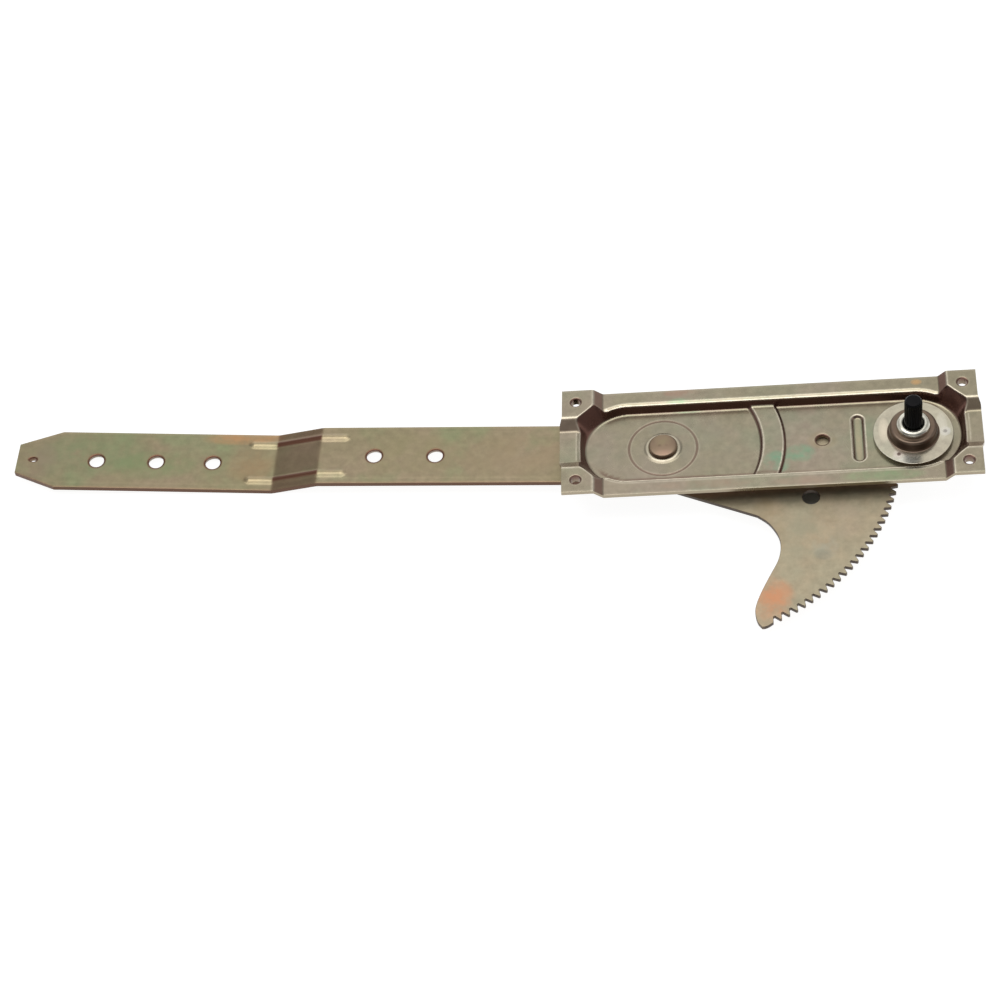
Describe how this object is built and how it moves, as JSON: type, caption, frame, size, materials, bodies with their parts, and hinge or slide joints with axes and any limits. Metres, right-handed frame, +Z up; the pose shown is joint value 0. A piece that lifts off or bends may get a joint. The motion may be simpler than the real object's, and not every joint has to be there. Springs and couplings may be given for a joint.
{
  "type": "window lifter",
  "caption": "Hand-crank window lifter for a vehicle door: pressed housing plate with brake and splined crank shaft, pinion, toothed sector and long joggled lift arm.",
  "frame": {"origin": "centre of the whole part's box at its underside, lying on its back", "axes": "+X along the plate from the arm's tip towards the crank shaft, +Y across the plate away from the sector's free side, +Z up along the crank shaft"},
  "size_m": [0.4564, 0.135, 0.0382],
  "materials": {
    "zinc_plate": "yellow-zinc plated pressed steel, satin",
    "zinc_arm": "yellow-zinc plated strip steel, satin, olive",
    "zinc_sector": "yellow-zinc plated blanked steel, satin",
    "zinc_pin": "yellow-zinc plated rivet steel, satin",
    "brown_steel": "brown phosphated steel",
    "bright_steel": "bright steel, fine turned",
    "black_steel": "black oxide, oiled",
    "spring_steel": "hardened steel, oiled",
    "bronze": "sintered bronze"
  },
  "bodies": {
    "housing": {"housing_plate": "zinc_plate", "brake_housing": "brown_steel", "shaft_bush": "bright_steel", "pinion_bracket": "zinc_plate", "pivot_pin": "zinc_pin", "pivot_front_washer": "bright_steel", "pivot_back_washer": "bright_steel"},
    "lift": {"lift_arm": "zinc_arm", "sector_gear": "zinc_sector", "pivot_bush": "bronze", "sector_rivet_1": "zinc_pin", "sector_rivet_2": "zinc_pin", "sector_rivet_3": "zinc_pin"},
    "crank": {"crank_shaft": "black_steel", "brake_driver": "spring_steel", "driver_washer": "bright_steel", "brake_spring": "spring_steel", "pinion": "spring_steel", "pinion_washer": "bright_steel", "retaining_ring": "spring_steel"}
  },
  "joints": [
    {"name": "arm_swing", "type": "hinge", "parent": "housing", "child": "lift", "pos_m": [0.08171, 0.03349, 0.0081], "axis": [0, 0, 1], "range_deg": [-6, 58]},
    {"name": "crank_turn", "type": "hinge", "parent": "housing", "child": "crank", "pos_m": [0.19672, 0.03349, 0.0081], "axis": [0, 0, 1], "range_deg": [-946, 98]}
  ],
  "couplings": [
    {"joint": "crank_turn", "follows": "arm_swing", "ratio": -16.3}
  ]
}
